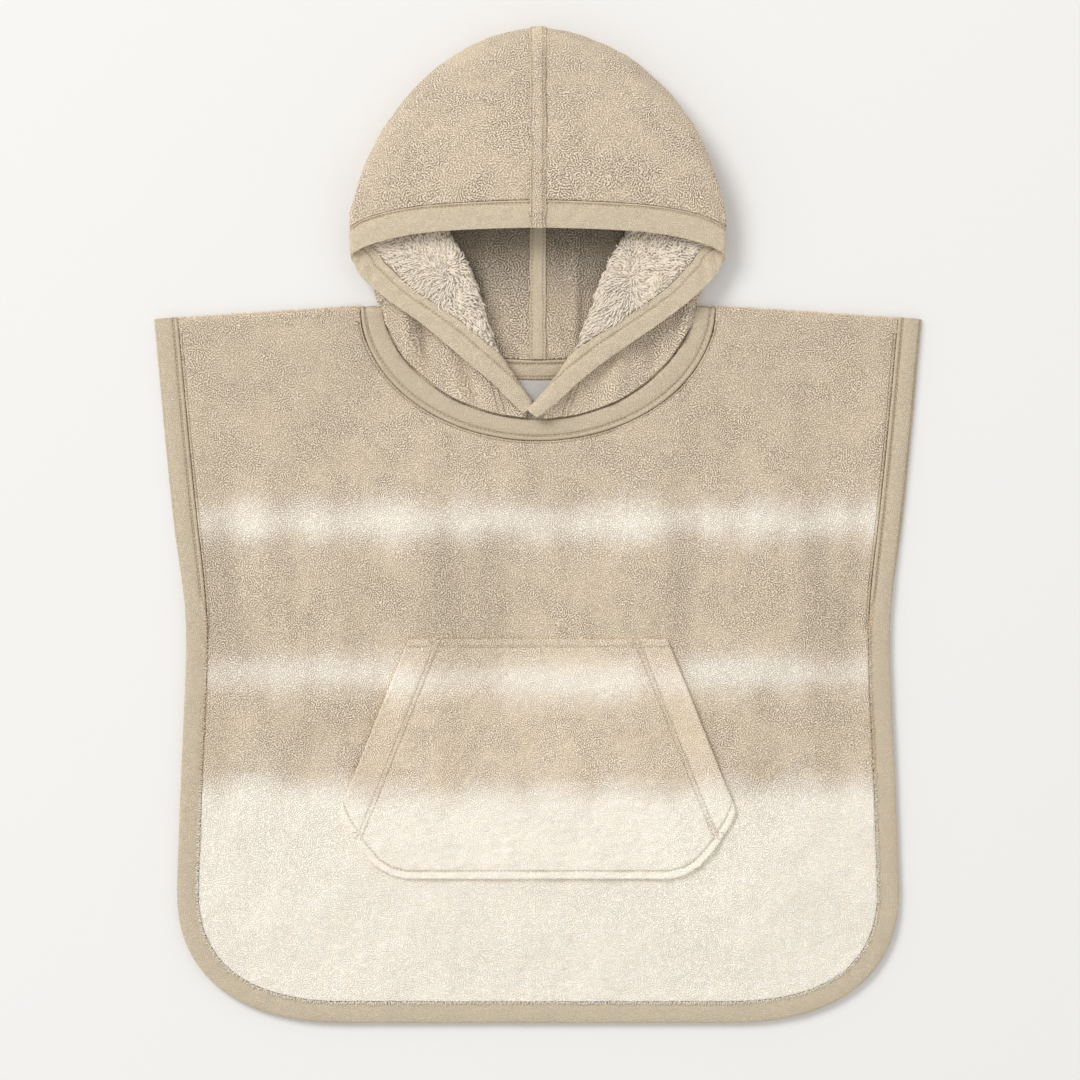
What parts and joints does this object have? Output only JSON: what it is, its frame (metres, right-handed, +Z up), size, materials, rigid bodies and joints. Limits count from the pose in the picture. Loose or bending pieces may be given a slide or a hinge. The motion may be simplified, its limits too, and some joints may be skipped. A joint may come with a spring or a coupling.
{
  "type": "hooded bath poncho",
  "caption": "Child's hooded bath poncho in terry towelling, laid flat, with a bound neck, sides and hem, a front pocket and an open hood.",
  "frame": {"origin": "a point on the underside of the back panel, on the garment's centre line and half way up its length but 1.3 mm toward the hem; it lies on the surface the poncho rests on", "axes": "+X toward the right of the garment as laid (the wearer's left), +Y toward the hood, +Z up away from the surface"},
  "size_m": [0.604, 0.786, 0.0443],
  "materials": {
    "terry": "looped cotton terry pile, dyed in soft bands from tan to cream",
    "binding": "smooth knitted binding, matt",
    "tape": "ribbed seam tape, matt",
    "label": "plain woven label, soft sheen"
  },
  "bodies": {
    "root": {"front_panel": "terry", "back_panel": "terry", "front_binding": "binding", "back_binding": "binding", "neck_binding_front": "binding", "neck_binding_back": "binding", "hood_left": "terry", "hood_right": "terry", "hood_band": "binding", "hood_tape_outer": "tape", "hood_tape_inner": "tape", "pocket": "terry", "label": "label"}
  },
  "joints": []
}
